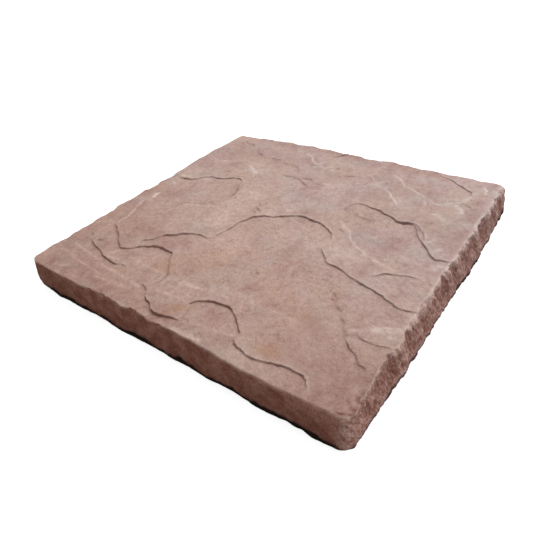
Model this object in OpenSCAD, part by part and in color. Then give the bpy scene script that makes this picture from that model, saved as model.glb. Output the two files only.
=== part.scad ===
// Hearthstone: one slab of cast stone with a cleft face, two rock-faced sides and two smoother ones.
// It lies on its bed in the plane z = 0, with the middle of the bed at the origin.

/* [Slab] */
// Length of the slab, along X
slab_length = 508; // [420:1:620]
// Depth of the slab, along Y
slab_depth = 483; // [420:1:620]
// Thickness, from the bed to the highest part of the face
slab_thickness = 51; // [38:1:76]
// Radius of the worn front right corner
worn_corner = 20; // [8:1:26]
// Radius of the chipped back right corner
chipped_corner = 14; // [6:1:20]
// Radius of the two left corners
sharp_corner = 7; // [3:1:12]

/* [Sides] */
// How far the right and back sides are set back at the face
rock_setback = 10; // [4:0.5:14]
// Depth of the deepest chisel bite in their lower edge
bite_depth = 6; // [1:0.5:9]
// Length of one chisel bite along its side
bite_length = 36; // [24:1:60]
// How far the ridges between bites stand out
ridge = 3; // [1:0.5:5]
// Depth of the slow waves in the front and left sides
wave_depth = 2; // [0:0.5:4]
// How far the left side is drawn in along its back half
left_taper = 6; // [0:1:9]
// Width of the worn edge of the face, along the front and left sides
face_edge = 3; // [1:0.5:8]
// Width of the worn edge round the bed
bed_edge = 3; // [1:0.5:8]

/* [Cleft face] */
// Depth of the deepest cleft below the face
cleft_drop = 3.5; // [1:0.5:6]

/* [Hidden] */

// Two irrational steps, whose multiples spread evenly and never repeat
GOLDEN = 0.618034;
PLASTIC = 0.754878;

// Sides are numbered anticlockwise from the front one
FRONT = 0;
RIGHT = 1;
BACK = 2;
LEFT = 3;
// Spacing of the points along a wavy side
wave_step = 10;
// Steps round an upright corner
corner_steps = 5;
// Facets of the tool that makes a chisel bite
bite_facets = 48;
// How far a cleft's floor stands over the face where it runs out, as a share of its drop
run_out = 0.12;

// The clefts in the face. Each is a thin wedge of stone that is missing: the outline of the wedge, in
// percent of the slab's length and depth from its front left corner, then the heading in which its
// floor falls, in degrees from +X, and its deepest point as a share of cleft_drop.
CLEFTS = [
    // centre hollow, under the long arch
    [[[23, 21.5], [24.2, 24.6], [25.6, 27], [29.5, 30.4], [31.7, 32.3], [35.4, 33.5], [39, 33.5],
      [40.6, 39.3], [41.5, 45.1], [43.9, 49.3], [48.6, 51.6], [52.6, 54.2], [55.7, 55.5], [59.6, 54.9],
      [63, 54], [65.6, 52.6], [67.7, 50.3], [68.3, 47]], 120, 1],
    // right plate, out to the right side
    [[[68.3, 44], [70, 42.2], [72, 40], [75.4, 39.1], [79, 37.7], [84, 36.2], [88, 35.2],
      [90.6, 34.2], [93, 33.1], [96.5, 33.3], [103, 33.5], [103, 14]], 48, 0.7],
    // upper right hollow
    [[[64.2, 65.8], [65.6, 68.5], [69, 68.7], [74.4, 67.5], [78.7, 65.6], [81, 65.8], [83.5, 66],
      [85.6, 63], [88.2, 59.4], [91, 56.3], [93.3, 53.8], [96.5, 54], [103, 54.2], [103, 49],
      [88, 48], [72, 55]], 75, 0.85],
    // left hollow
    [[[4, 57], [7.5, 57.8], [9.8, 58], [12.2, 60.5], [15.4, 62.7], [18.5, 62.9], [21, 64.4],
      [24.8, 65.8], [26.8, 64.6], [27.6, 62], [29.3, 59], [30, 55.5], [29.5, 51.6], [28, 47.6],
      [23.6, 46.6]], 56, 0.7],
    // arched hollow left of the centre
    [[[18.5, 17.5], [21, 18], [24, 20.5], [27.2, 22.8], [30, 23.8], [33, 23.4], [35.4, 21.7],
      [37.4, 19.3], [39.4, 15.5]], 76, 0.75],
    // ledge along the front margin
    [[[38, 9.3], [40, 8], [41.5, 6.2], [44, 5.2], [46.7, 3.7], [48.8, 3.5], [51.2, 4], [54.5, 4.6],
      [54, 8], [53, 10], [54, 11.8], [56, 13], [58.7, 13.9], [61.6, 14], [64.2, 12.8], [66, 11.2],
      [69, 8.7], [69.5, 6], [72.4, 4.8], [75.2, 4], [79.3, 5.2], [82.7, 6], [85.8, 6], [87.8, 4.8],
      [89.4, 2.7], [92, -3], [37, -3]], 14, 0.75],
    // back right corner plate
    [[[79, 96.5], [82.7, 94.6], [85.2, 93.2], [88, 91.3], [90.4, 89.6], [91.2, 86], [89, 81],
      [74, 88]], 52, 0.45],
    // front left ledge
    [[[-3, 20.5], [3, 20], [5.5, 19], [7.3, 18.2], [9.8, 15.5], [12.4, 14.6], [15.4, 13.9],
      [18, 12.6], [21, 12], [24, 11.6], [27.6, 12.4], [24, 4], [-3, 4]], 75, 0.5],
    // short ledge over the right plate
    [[[84.3, 40.4], [86.2, 42.7], [88.6, 43.5], [90.6, 44.3], [94.3, 44.3], [103, 44.3], [103, 36.5],
      [90, 37.5]], 60, 0.4],
    // shallow hollow behind the centre
    [[[35, 74.3], [39, 74.7], [42.3, 74.3], [44.7, 73], [46.7, 71.8], [48.4, 70.6], [46, 64],
      [36, 66]], 80, 0.4],
];

// One of an even spread of values from 0 to 1, the same each time for the same n
function chance(n, step) = n * step - floor(n * step);

// Length of a side, and how far out it lies
function side_length(side) = side % 2 == 0 ? slab_length : slab_depth;
function side_out(side) = side_length(side + 1) / 2;

// How deep the waves in a smoother side are, at s along it: two waves of different length
function wave(side, s) =
    side == FRONT || side == LEFT
    ? wave_depth * (2 + sin(s * 3.1 + 70 * side) + sin(s * 1.3 + 200)) / 4
    : 0;

// Rises smoothly from 0 to 1 as t does
function rise(t) = let (u = max(0, min(1, t))) u * u * (3 - 2 * u);

// Moves a point of the outline to draw the back half of the left side in
function drawn_in(p) =
    p + [left_taper * rise(0.2 + 6 * p.y / slab_depth) * max(0, -2 * p.x / slab_length), 0];

// Radius of the corner that follows a side
function corner(side) = [worn_corner, chipped_corner, sharp_corner, sharp_corner][side % 4];

// One side of the outline, from the end of one corner to the start of the next
function side_points(side) =
    let (start = corner(side + 3) - side_length(side) / 2,
         end = side_length(side) / 2 - corner(side),
         steps = round((end - start) / wave_step),
         along = [cos(90 * side), sin(90 * side)],
         outward = [sin(90 * side), -cos(90 * side)])
    [for (i = [0 : steps])
        let (s = start + (end - start) * i / steps,
             fade = min(1, 4 * i / steps, 4 * (steps - i) / steps))
        along * s + outward * (side_out(side) - fade * wave(side, s))];

// The corner that follows a side
function corner_points(side) =
    let (r = corner(side),
         middle = [cos(90 * side), sin(90 * side)] * (side_length(side) / 2 - r)
                  + [sin(90 * side), -cos(90 * side)] * (side_out(side) - r))
    [for (i = [1 : corner_steps - 1])
        let (angle = 90 * (side - 1 + i / corner_steps))
        middle + r * [cos(angle), sin(angle)]];

// The outline of the slab from above
module outline() {
    polygon([for (side = [0 : 3]) for (p = concat(side_points(side), corner_points(side))) drawn_in(p)]);
}

// A plain plate as long and deep as the slab, drawn in at the front and left and at the rock faces
module plate(inset, rock_inset, low, high) {
    translate([inset - slab_length / 2, inset - slab_depth / 2, low])
        cube([slab_length - inset - rock_inset, slab_depth - inset - rock_inset, high - low]);
}

// A block with the worn edges round the face and the bed, and with the rock faces sloping
module worn_block() {
    shoulder = slab_thickness - face_edge * 0.6;
    hull() {
        plate(bed_edge, bed_edge, 0, bed_edge);
        plate(0, 0, bed_edge, slab_thickness * 0.3);
        plate(0, rock_setback * 0.75, slab_thickness * 0.3, shoulder);
        plate(face_edge, rock_setback, slab_thickness * 0.3, slab_thickness);
    }
}

// Puts its children on a side, with X along the side, Y into the slab and the side's plane at y = 0
module on_side(side) {
    rotate(90 * side)
        translate([0, -side_out(side), 0])
            children();
}

// The tool that makes one chisel bite: a wide cylinder that leans out with the rock face. It cuts as
// deep as top at the face and as deep as bottom at the bed.
module bite(length, top, bottom, lean) {
    radius = (pow(length / 2, 2) + pow(ridge, 2)) / (2 * ridge);
    translate([0, bottom, 0])
        rotate([-atan((top - bottom) / slab_thickness), lean, 0])
            translate([0, -radius, -slab_thickness])
                cylinder(r = radius, h = slab_thickness * 3, $fn = bite_facets);
}

// A row of bites, from the end of one corner to the start of the next
module bites(side) {
    start = corner(side + 3) - side_length(side) / 2;
    end = side_length(side) / 2 - corner(side);
    count = round((end - start) / bite_length);
    pitch = (end - start) / count;
    for (i = [0 : count - 1]) {
        at = start + (i + 0.5 + 0.3 * (chance(i + 5 * side, GOLDEN) - 0.5)) * pitch;
        on_side(side)
            translate([at, 0, 0])
                bite(pitch * 1.2, rock_setback + ridge * (0.4 + 0.4 * chance(i + side, PLASTIC)),
                     bite_depth * chance(i + 2 * side, GOLDEN), 30 * (chance(i, PLASTIC) - 0.5));
    }
}

// A wedge with a flat, sloping floor, which is cut out of the face
module cleft(outline, heading, drop) {
    points = [for (p = outline) [(p.x / 100 - 0.5) * slab_length, (p.y / 100 - 0.5) * slab_depth]];
    reach = [for (p = points) p.x * cos(heading) + p.y * sin(heading)];
    rise = run_out * drop;
    fall = atan((drop + rise) / (max(reach) - min(reach)));
    rotate(heading)
        translate([min(reach), 0, slab_thickness + rise])
            rotate([0, fall, 0])
                translate([-min(reach), 0, 0])
                    rotate(-heading)
                        linear_extrude(height = 4 * cleft_drop)
                            polygon(points);
}

module hearthstone() {
    color([0.70, 0.59, 0.55])
        difference() {
            intersection() {
                linear_extrude(height = slab_thickness) outline();
                worn_block();
            }
            bites(RIGHT);
            bites(BACK);
            for (c = CLEFTS)
                cleft(c[0], c[1], c[2] * cleft_drop);
        }
}

hearthstone();
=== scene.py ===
# %% [markdown]
# # A cast hearthstone
# A hearthstone is the slab that caps a raised hearth. This one is cast in lightweight concrete, in a
# rubber mould taken from a split sandstone flag, so it shows all that a split stone shows: thin clefts
# where layers broke away, a smooth front, and two sides that look struck with a chisel.
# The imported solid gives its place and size; the cells below cast a finer slab inside the same box.

# %% Load the frame
import itertools
import math

import bpy
import numpy as np
from mathutils import Matrix, Vector


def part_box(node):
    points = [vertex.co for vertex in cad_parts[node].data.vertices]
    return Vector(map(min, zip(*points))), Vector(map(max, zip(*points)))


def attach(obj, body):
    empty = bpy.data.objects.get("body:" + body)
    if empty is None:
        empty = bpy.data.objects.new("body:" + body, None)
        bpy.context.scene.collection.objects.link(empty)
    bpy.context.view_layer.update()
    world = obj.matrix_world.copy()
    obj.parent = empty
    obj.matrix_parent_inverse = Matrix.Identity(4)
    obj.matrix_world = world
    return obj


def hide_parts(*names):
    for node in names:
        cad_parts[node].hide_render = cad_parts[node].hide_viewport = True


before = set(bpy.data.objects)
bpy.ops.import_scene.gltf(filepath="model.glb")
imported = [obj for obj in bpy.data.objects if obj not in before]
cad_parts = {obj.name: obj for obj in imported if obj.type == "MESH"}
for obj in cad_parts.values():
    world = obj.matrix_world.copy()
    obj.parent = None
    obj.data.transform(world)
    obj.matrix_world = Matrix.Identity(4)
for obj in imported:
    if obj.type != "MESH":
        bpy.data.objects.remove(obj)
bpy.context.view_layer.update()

MM = 0.001
low, high = (np.array(corner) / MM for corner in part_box("hearthstone"))
LENGTH, DEPTH, THICKNESS = high - low
middle = (low + high) / 2
print(f"slab {LENGTH:.0f} x {DEPTH:.0f} x {THICKNESS:.0f} mm")

# %% [markdown]
# ## Irregularity that repeats
# Stone is uneven at every size, from a swell as wide as a hand to a grain of sand. Sculpting that by
# hand would take days, and a random number for each vertex gives only fuzz. Value noise is the usual
# answer: random values on a coarse lattice with smooth blends between them, then finer lattices on
# top. Each lattice has its own seed, so the slab is the same one every time.

# %% Noise and scattered seeds
LATTICE = 64  # cells after which a noise repeats
SHIFT = 0.37  # how far apart the lattices of two seeds in a row are set, in cells


def blend(t):
    """3t^2 - 2t^3: a ramp from 0 to 1 that starts and ends level."""
    t = np.clip(t, 0, 1)
    return t * t * (3 - 2 * t)


def noise(points, cell, seed):
    """Value noise from -1 to 1: lattice values a cell apart, blended smoothly between corners."""
    size = points.shape[-1]
    table = np.random.default_rng(seed).uniform(-1, 1, (LATTICE,) * size)
    place = points / cell + SHIFT * seed
    corner = np.floor(place).astype(int)
    share = blend(place - corner)
    total = np.zeros(points.shape[:-1])
    for step in itertools.product((0, 1), repeat=size):
        weight = np.prod(np.where(step, share, 1 - share), axis=-1)
        index = tuple(np.moveaxis((corner + step) % LATTICE, -1, 0))
        total += weight * table[index]
    return total


def layered(points, cell, layers, seed):
    """Noise plus the same at half the cell and half the height, and so on."""
    return sum(noise(points, cell / 2**k, seed + k) / 2**k for k in range(layers))


def to_seed(points, seed):
    """Distance, in cells, to the nearest of the seeds that lie one to a cell at a random place."""
    rng = np.random.default_rng(seed)
    jitter = rng.uniform(0.12, 0.88, (LATTICE, LATTICE, 2))
    corner = np.floor(points).astype(int)
    nearest = np.full(points.shape[:-1], np.inf)
    for step in itertools.product((-1, 0, 1), repeat=2):
        cell = corner + step
        index = tuple(np.moveaxis(cell % LATTICE, -1, 0))
        gap = np.linalg.norm(cell + jitter[index] - points, axis=-1)
        nearest = np.minimum(nearest, gap)
    return nearest


print("noise ready:", noise(np.array([[10.0, 20.0]]), 7, 1).round(3))

# %% [markdown]
# ## Clefts
# Sandstone splits along its beds, and where a bed breaks off it leaves a lip: a small step, ragged in
# plan and steep in section, that dies out at both ends. A lip could be a knife cut with a boolean or
# a painted line, but a step in the height of the face catches the light from every side. So each lip
# is a path over the face. It is walked with the low ground on the right, in millimetres from the
# front left corner of a 508 by 483 slab, and the third number is how deep the step is there.

# %% The lips
LIPS = {
    # name: (how far the low ground takes to rise again, pale wear and painted highlight on the upper
    # edge, which also takes from the painted shade at the foot, how many millimetres the step itself is
    # spread over, path)
    "long arch": (95, 0.5, 0, [
        (118, 105, 0.3), (115, 110, 0.8), (117, 114, 1.1), (123, 119, 1.3), (128, 123, 1.2),
        (130, 130, 1.6), (133, 135, 2.2), (137, 140, 2.5), (144, 143, 2.6), (150, 147, 2.5),
        (155, 152, 2.3), (161, 156, 2.1), (168, 159, 1.9), (175, 161, 1.7), (181, 162, 1.6),
        (187, 161, 1.3), (193, 161, 1.0), (198, 162, 0.5), (202, 167, 0.7), (202, 176, 0.9),
        (204, 182, 1.0), (206, 190, 1.2), (208, 200, 1.3), (209, 210, 1.5), (211, 218, 1.7),
        (214, 224, 1.8), (216, 230, 2.0), (218, 235, 2.3), (223, 238, 2.1), (230, 243, 2.1),
        (236, 246, 2.0), (241, 246, 1.0), (247, 249, 1.5), (252, 253, 2.0), (260, 257, 2.2),
        (267, 262, 2.2), (273, 265, 2.3), (283, 268, 2.7), (293, 266, 3.0), (303, 265, 2.7),
        (313, 264, 2.3), (320, 261, 2.0), (327, 257, 1.8), (333, 254, 1.8), (338, 250, 1.6),
        (342, 246, 1.3), (345, 241, 0.9), (347, 234, 0.4), (347, 227, 0)]),
    "right plate": (70, 0.5, 0, [
        (347, 213, 0.2), (349, 211, 0.8), (351, 208, 1.3), (355, 204, 1.6), (360, 199, 1.5),
        (366, 193, 1.5), (369, 191, 1.9), (376, 190, 1.9), (383, 189, 1.9), (391, 187, 2.0),
        (397, 184, 1.9), (402, 182, 1.9), (410, 179, 2.0), (418, 177, 2.0), (427, 175, 1.9),
        (433, 173, 1.7), (441, 172, 1.9), (447, 170, 1.9), (454, 168, 2.2), (460, 165, 1.9),
        (467, 162, 2.0), (472, 160, 1.7), (477, 158, 1.4), (484, 159, 1.2), (490, 161, 1.0),
        (500, 162, 0.6), (508, 162, 0.4)]),
    "upper right": (60, 0.3, 0, [
        (326, 318, 0.2), (326, 322, 0.5), (330, 327, 0.9), (333, 331, 1.0), (338, 333, 1.3),
        (344, 333, 1.5), (351, 332, 1.8), (357, 331, 1.8), (365, 330, 1.8), (372, 329, 1.9),
        (378, 326, 2.2), (384, 324, 2.2), (391, 322, 2.4), (396, 320, 2.3), (400, 317, 2.6),
        (405, 316, 3.0), (412, 318, 3.3), (419, 320, 3.1), (424, 319, 1.9), (427, 316, 1.0),
        (431, 312, 0.9), (435, 305, 0.9), (439, 297, 1.1), (443, 292, 1.4), (448, 287, 1.8),
        (453, 282, 2.0), (458, 277, 2.1), (463, 272, 2.2), (467, 267, 2.2), (471, 263, 2.0),
        (474, 260, 1.8), (479, 258, 1.5), (485, 260, 1.3), (490, 261, 1.0), (498, 262, 0.6),
        (508, 262, 0.4)]),
    "upper right, second": (22, 0.6, 0, [
        (423, 322, 0.8), (430, 319, 1.1), (436, 313, 1.1), (442, 307, 1.2), (446, 301, 1.2),
        (449, 295, 1.0), (451, 289, 0.4), (452, 285, 0)]),
    "upper right, inner": (25, 0.1, 3.5, [
        (338, 310, 0), (345, 307, 1.0), (353, 304, 1.2), (362, 305, 1.2), (369, 304, 1.0),
        (377, 302, 0)]),
    "over right plate": (30, 0.5, 0, [
        (424, 190, 0), (428, 195, 0.9), (433, 200, 1.2), (438, 206, 1.5), (443, 208, 1.5),
        (450, 210, 1.4), (455, 212, 1.3), (460, 214, 1.2), (470, 215, 0.8), (479, 214, 0.3),
        (486, 213, 0)]),
    "left hollow": (46, 0.58, 0, [
        (20, 276, 0.2), (25, 277, 1.2), (32, 278, 2.4), (38, 279, 3.0), (45, 280, 2.8),
        (50, 280, 2.0), (55, 284, 1.6), (59, 288, 1.6), (62, 292, 1.5), (67, 297, 1.4),
        (72, 300, 1.6), (78, 303, 1.9), (87, 304, 2.0), (94, 304, 1.9), (100, 307, 1.7),
        (107, 311, 1.7), (113, 315, 1.6), (120, 317, 1.8), (126, 318, 2.0), (131, 316, 1.5),
        (136, 312, 1.0), (139, 308, 0.5), (141, 303, 0)]),
    "left hollow, right side": (24, 0.1, 3.0, [
        (138, 306, 0.3), (140, 299, 0.8), (145, 292, 1.0), (149, 285, 1.1), (152, 277, 1.1),
        (153, 268, 1.0), (152, 258, 0.8), (150, 249, 0.4), (146, 241, 0)]),
    "left hollow, foot": (24, 0.5, 2.0, [
        (153, 236, 0), (140, 231, 0.7), (126, 226, 0.9), (112, 220, 0.9), (99, 215, 0.8),
        (92, 203, 0.6), (88, 193, 0.6), (75, 181, 0.4), (61, 169, 0)]),
    "left, pale": (26, 0.74, 0, [
        (46, 121, 0), (44, 131, 0.8), (45, 142, 0.7), (44, 150, 0.9), (42, 158, 0.9),
        (39, 166, 1.0), (36, 173, 1.0), (33, 181, 1.1), (31, 187, 1.0), (32, 193, 0.7),
        (38, 198, 0.5), (46, 202, 0)]),
    "small arch": (60, 0.05, 0, [
        (42, 123, 0.2), (45, 121, 1.1), (50, 119, 1.3), (56, 115, 1.1), (62, 111, 1.1),
        (70, 107, 1.3), (76, 102, 1.3), (82, 96, 1.1), (90, 91, 1.2), (97, 87, 1.5),
        (100, 85, 1.7), (105, 86, 1.7), (112, 89, 1.2), (118, 94, 1.0), (122, 99, 1.8),
        (128, 104, 1.9), (134, 107, 1.9), (138, 110, 2.3), (142, 113, 2.7), (147, 114, 3.0),
        (153, 115, 3.1), (162, 114, 3.1), (168, 113, 2.7), (173, 112, 2.2), (177, 110, 1.3),
        (180, 105, 0.6), (185, 98, 0.7), (190, 93, 0.7), (194, 88, 0.8), (199, 83, 0.8),
        (204, 77, 0.7), (207, 70, 0.5), (208, 62, 0.5), (206, 53, 0.3), (206, 45, 0)]),
    "front ledge": (40, 0.2, 0, [
        (190, 46, 0), (193, 45, 1.1), (198, 43, 1.4), (203, 41, 0.7), (208, 36, 0.1),
        (211, 31, 1.2), (217, 28, 2.0), (223, 26, 1.7), (228, 23, 1.4), (232, 20, 1.2),
        (237, 18, 2.4), (241, 17, 3.4), (248, 17, 3.4), (255, 19, 3.1), (260, 20, 2.4),
        (268, 21, 1.6), (274, 21, 1.0), (279, 22, 0)]),
    "front ledge, tail": (12, 0, 0, [(219, 17, 0), (226, 18, 0.6), (232, 17, 0.4), (238, 16, 0)]),
    "front ledge, end": (14, 0.5, 0, [
        (277, 22, 0), (276, 30, 0.5), (275, 38, 0.5), (271, 45, 0.3), (269, 48, 0)]),
    "bottom arc": (45, 0.3, 0, [
        (268, 47, 0.3), (269, 49, 1.3), (271, 53, 1.9), (274, 57, 2.0), (278, 59, 1.9),
        (284, 63, 2.2), (291, 66, 2.5), (298, 67, 2.6), (307, 68, 2.6), (313, 68, 2.4),
        (317, 67, 1.9), (320, 65, 1.4), (326, 62, 1.3), (332, 57, 1.3), (336, 54, 1.6),
        (340, 51, 1.8), (346, 45, 1.7), (350, 42, 1.3), (352, 39, 0)]),
    "front right ledge": (35, 0.54, 0, [
        (351, 31, 0), (353, 29, 1.3), (357, 26, 2.0), (362, 24, 2.2), (368, 23, 1.9),
        (375, 21, 2.0), (382, 20, 2.0), (390, 21, 1.7), (397, 23, 1.7), (403, 25, 1.8),
        (412, 27, 2.0), (420, 29, 2.4), (430, 29, 2.5), (436, 29, 2.4), (442, 27, 1.9),
        (446, 23, 1.3), (450, 18, 0.9), (454, 13, 0)]),
    "hairline, first": (14, 0, 0, [
        (402, 148, 0), (404, 147, 0.7), (408, 144, 0.8), (412, 139, 0.4), (415, 135, 0.2),
        (418, 131, 0.2), (420, 128, 0.8), (425, 125, 0.9), (429, 122, 0)]),
    "hairline, second": (14, 0, 0, [
        (430, 116, 0.5), (434, 114, 0.8), (437, 112, 0.5), (439, 108, 0.5), (442, 103, 0.3),
        (445, 98, 0.6), (450, 95, 0.7), (452, 93, 0)]),
    "hairline, third": (26, 0.25, 0, [
        (446, 95, 0.2), (448, 93, 0.7), (452, 89, 0.9), (457, 84, 1.1), (462, 80, 1.1),
        (467, 79, 1.0), (472, 75, 1.0), (475, 71, 0.9), (478, 68, 1.1), (483, 67, 1.2),
        (487, 64, 0.8), (490, 61, 0)]),
    "raised flake": (18, 0.4, 0, [
        (456, 103, 0), (460, 101, 0.8), (466, 99, 1.1), (472, 98, 0.8), (480, 98, 0.5),
        (488, 101, 0.6), (497, 102, 0.5), (508, 103, 0.4)]),
    "front left": (45, 0.4, 0, [
        (28, 92, 0.3), (31, 91, 0.9), (37, 88, 0.8), (41, 84, 0.1), (46, 78, 0.3), (50, 75, 1.5),
        (56, 73, 1.7), (63, 70, 1.5), (70, 69, 1.5), (78, 67, 1.4), (85, 64, 1.4), (91, 61, 1.6),
        (98, 60, 1.8), (107, 58, 2.0), (115, 57, 2.0), (122, 56, 1.6), (127, 58, 0.7),
        (133, 60, 0.7), (140, 60, 0.6), (147, 57, 0)]),
    "front left, curl": (14, 0, 2.0, [(52, 80, 0), (54, 83, 1.2), (58, 85, 1.2), (67, 86, 0)]),
    "behind centre": (30, 0.1, 0.8, [
        (178, 359, 0), (190, 360, 1.4), (198, 361, 1.7), (208, 361, 2.0), (215, 359, 2.0),
        (222, 357, 1.7), (227, 353, 1.6), (232, 350, 1.7), (237, 347, 1.7), (242, 344, 1.3),
        (246, 341, 0)]),
    "behind centre, fork": (20, 0.1, 0.8, [
        (216, 361, 0), (222, 364, 1.5), (228, 366, 1.7), (232, 366, 1.7), (237, 364, 1.4),
        (243, 361, 1.0), (252, 358, 0.9), (262, 357, 0.9), (270, 354, 0)]),
    "back left": (22, 0.1, 0.8, [
        (38, 440, 0), (45, 440, 1.1), (50, 437, 1.1), (57, 436, 1.1), (62, 437, 1.0),
        (66, 434, 1.1), (70, 431, 0)]),
    "back left, lower": (14, 0, 1.5, [(34, 435, 0), (42, 432, 0.9), (49, 429, 0)]),
    "left of back": (22, 0.1, 0.8, [
        (88, 411, 0), (94, 412, 1.0), (100, 411, 1.1), (104, 408, 1.4), (108, 405, 0.7),
        (111, 402, 0)]),
    "back, first": (20, 0.1, 0.8, [
        (128, 404, 0), (133, 403, 1.5), (138, 402, 1.6), (143, 401, 1.1), (146, 403, 1.2),
        (151, 404, 0)]),
    "back, second": (20, 0.1, 0.8, [
        (158, 396, 0), (163, 396, 0.9), (168, 395, 0.7), (176, 395, 0.5), (186, 394, 0.5),
        (192, 392, 0.5), (197, 386, 0.8), (201, 381, 0.6), (204, 377, 0)]),
    "back right": (34, 0.6, 0, [
        (402, 463, 0.3), (408, 461, 1.2), (413, 459, 1.4), (420, 457, 1.5), (427, 454, 1.7),
        (433, 450, 1.8), (440, 446, 1.7), (447, 441, 1.7), (453, 437, 1.8), (459, 433, 1.7),
        (463, 430, 1.2), (464, 424, 0.5), (463, 416, 0)]),
    "back right, pale": (14, 0.9, 0, [
        (483, 430, 0), (482, 436, 0.8), (481, 443, 0.9), (477, 449, 0.9), (471, 455, 0)]),
    "upper scar, first": (20, 0.78, 0, [
        (405, 392, 0), (400, 397, 0.8), (393, 400, 0.8), (387, 404, 0.8), (380, 407, 0.6),
        (375, 406, 0.4), (371, 413, 0.8), (365, 420, 0.8), (360, 425, 0.8), (355, 430, 0.6),
        (347, 433, 0.4), (335, 433, 0)]),
    "upper scar, second": (22, 0.82, 0, [
        (385, 350, 0), (385, 355, 0.9), (380, 361, 1.0), (375, 366, 1.0), (369, 371, 0.9),
        (365, 377, 0.8), (360, 382, 0.7), (352, 388, 0.4), (343, 391, 0.4), (333, 395, 0.5),
        (326, 403, 0.5), (319, 412, 0.4), (309, 420, 0)]),
    "upper scar, third": (14, 0.6, 0, [(424, 366, 0), (421, 371, 0.7), (417, 380, 0.4), (411, 388, 0)]),
    "crescent": (30, 0.74, 0, [
        (436, 232, 0), (418, 230, 0.3), (404, 228, 0.9), (398, 232, 1.1), (390, 237, 1.2),
        (383, 240, 1.1), (377, 245, 1.1), (370, 249, 1.1), (365, 258, 0.7), (360, 265, 0.7),
        (353, 270, 0.7), (347, 274, 0.7), (340, 280, 0.4), (333, 284, 0)]),
    "crescent, nick": (10, 0.1, 0, [(344, 263, 0), (347, 262, 1.2), (351, 260, 1.3), (356, 257, 0)]),
    "arch shoulder": (12, 0.1, 0, [
        (207, 257, 0), (210, 256, 1.0), (214, 254, 1.1), (218, 252, 0.8), (222, 249, 0)]),
    "arch shoulder, second": (10, 0, 0, [(208, 249, 0), (212, 246, 0.9), (216, 242, 0)]),
    "back notch": (16, 0, 0, [
        (222, 452, 0), (226, 452, 0.7), (230, 454, 0.9), (233, 459, 1.2), (237, 464, 1.4),
        (241, 468, 1.4), (245, 474, 1.2)]),
    "back pit": (12, 0, 0.8, [
        (278, 398, 0), (283, 401, 0.9), (287, 404, 1.4), (292, 403, 0.8), (296, 401, 0)]),
    "upper nick": (10, 0.4, 0, [(466, 394, 0), (470, 393, 0.9), (475, 390, 0.9), (478, 386, 0)]),
    "left nick": (9, 0, 0, [(80, 177, 0), (85, 176, 0.7), (91, 173, 0)]),
    "middle nick": (7, 0, 0, [(300, 134, 0), (304, 134, 0.7), (309, 131, 0)]),
    "plate nick": (7, 0, 0, [(381, 173, 0), (385, 172, 0.7), (389, 168, 0)]),
    "plate nick, lower": (7, 0, 0, [(382, 165, 0), (385, 164, 0.6), (388, 160, 0)]),
    "upper right, curl": (10, 0.1, 1.0, [(331, 304, 0), (326, 307, 0.9), (325, 312, 0.9), (326, 318, 0.3)]),
    "hollow above left": (12, 0.1, 2.0, [(82, 327, 0), (90, 331, 1.0), (98, 331, 0)]),
    "hollow, far left": (12, 0.1, 2.0, [(47, 387, 0), (53, 389, 0.9), (59, 388, 0)]),
    "hollow, back middle": (12, 0.1, 2.0, [(249, 414, 0), (254, 416, 0.9), (259, 415, 0)]),
    "hollow, back": (12, 0.1, 2.0, [(204, 407, 0), (208, 411, 0.9), (210, 416, 0)]),
    "upper edge nick": (9, 0.1, 0, [(471, 382, 0), (474, 377, 0.45), (476, 369, 0)]),
}
STEP = 1.3  # spacing of the points along a lip
RAGGED = 0.5  # how far its shake moves them sideways
DROP = 0.85  # share of each drawn depth that the step has
UNEVEN = 0.25  # how much noise adds to the depth or takes from it
TRACED = np.array([508.0, 483.0])  # length and depth of the slab that the lips are drawn on


def on_slab(places):
    """Millimetres from the front left corner of the drawn slab, as x and y from this one's middle."""
    return (np.asarray(places, float) / TRACED - 0.5) * (LENGTH, DEPTH)


def lip_path(path):
    """A Catmull-Rom curve through the path's points, with a small ragged sideways shift.

    Returns the points, their right-hand normals and the depth of the step at each, made uneven.
    """
    knots = np.array(path, float) * (1, 1, DROP)
    knots[:, :2] = on_slab(knots[:, :2])
    spans = np.linalg.norm(np.diff(knots[:, :2], axis=0), axis=1)
    along = np.concatenate([[0], np.cumsum(spans)])
    count = int(along[-1] / STEP) + 2
    place = np.interp(np.linspace(0, along[-1], count), along, np.arange(len(knots)))
    first = np.clip(np.floor(place).astype(int), 0, len(knots) - 2)
    t = (place - first)[:, None]
    a, b, c, d = (knots[np.clip(first + k, 0, len(knots) - 1)] for k in (-1, 0, 1, 2))
    curve = b + 0.5 * t * (c - a + t * (2 * a - 5 * b + 4 * c - d + t * (3 * (b - c) + d - a)))
    heading = np.gradient(curve[:, :2], axis=0)
    heading /= np.linalg.norm(heading, axis=1)[:, None]
    right = np.stack([heading[:, 1], -heading[:, 0]], axis=1)
    shake = noise(curve[:, :2], 3.5, 11) + 0.8 * noise(curve[:, :2], 9, 12)
    depth = np.maximum(curve[:, 2], 0) * (1 + UNEVEN * noise(curve[:, :2], 6, 13))
    return curve[:, :2] + right * (RAGGED * shake)[:, None], right, depth


paths = {name: lip_path(lip[3]) for name, lip in LIPS.items()}
print(f"{len(paths)} lips, {sum(len(p[0]) for p in paths.values()) * STEP / 1000:.1f} m of them")

# %% [markdown]
# ## The face
# From the side, a split face is almost flat: swells of a millimetre or so, and on them the steps of
# the lips. Each lip lowers the ground on its right by its own depth, and the ground climbs back as it
# leaves the lip, so one bed overlaps the next like roof slates. Beyond the ends of a lip, the step
# turns into a gentle ramp, which is why a point is weighed by its angle round the end.

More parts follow.
